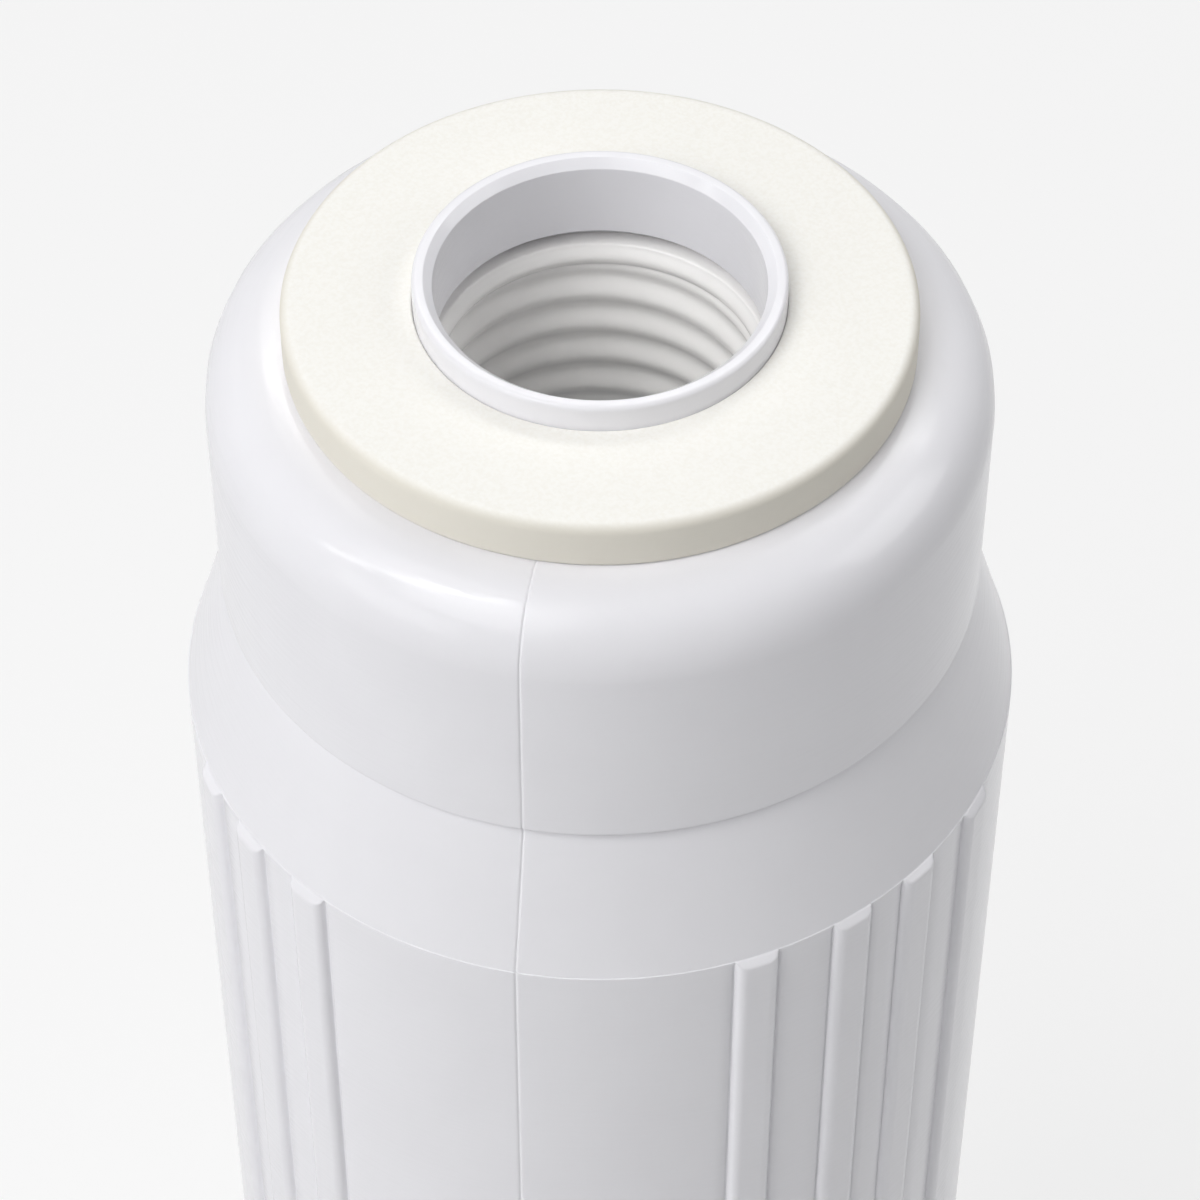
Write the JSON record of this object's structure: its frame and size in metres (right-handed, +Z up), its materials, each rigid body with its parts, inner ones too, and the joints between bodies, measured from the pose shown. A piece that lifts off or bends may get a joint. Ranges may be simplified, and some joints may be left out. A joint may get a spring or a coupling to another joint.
{
  "type": "fluoride filter cartridge",
  "caption": "Drop-in water filter cartridge: ribbed barrel with a sloping shoulder and a rounded collar, a threaded outlet neck, flat sealing washers and a slotted cap below.",
  "frame": {"origin": "on the axis, at the underside of the lower washer, on which the cartridge stands", "axes": "+Z up along the cartridge's axis and out of the outlet neck; the mould's parting line runs up the -Y and +Y sides"},
  "size_m": [0.07, 0.07, 0.2502],
  "materials": {
    "casing": "satin moulded polypropylene, cool white, with a fine grain that breaks up its highlights",
    "washer_foam": "dense closed-cell foam rubber, cream white, matt, with a slightly soft edge",
    "socket_plastic": "moulded polypropylene, slightly warm white, satin",
    "strainer_plastic": "natural polypropylene, satin, slightly milky",
    "felt": "white needled polypropylene felt, matt and fibrous",
    "soft_foam": "open-cell polymer foam, matt, finely porous",
    "granules": "bed of off-white activated alumina granules of about half a millimetre to one millimetre, matt"
  },
  "bodies": {
    "root": {"shell": "casing", "top_washer": "washer_foam", "threaded_socket": "socket_plastic", "outlet_strainer": "strainer_plastic", "post_filter_felt": "felt", "expansion_foam": "soft_foam", "alumina_bed": "granules", "inlet_felt": "felt", "bottom_cap": "casing", "bottom_washer": "washer_foam"}
  },
  "joints": []
}
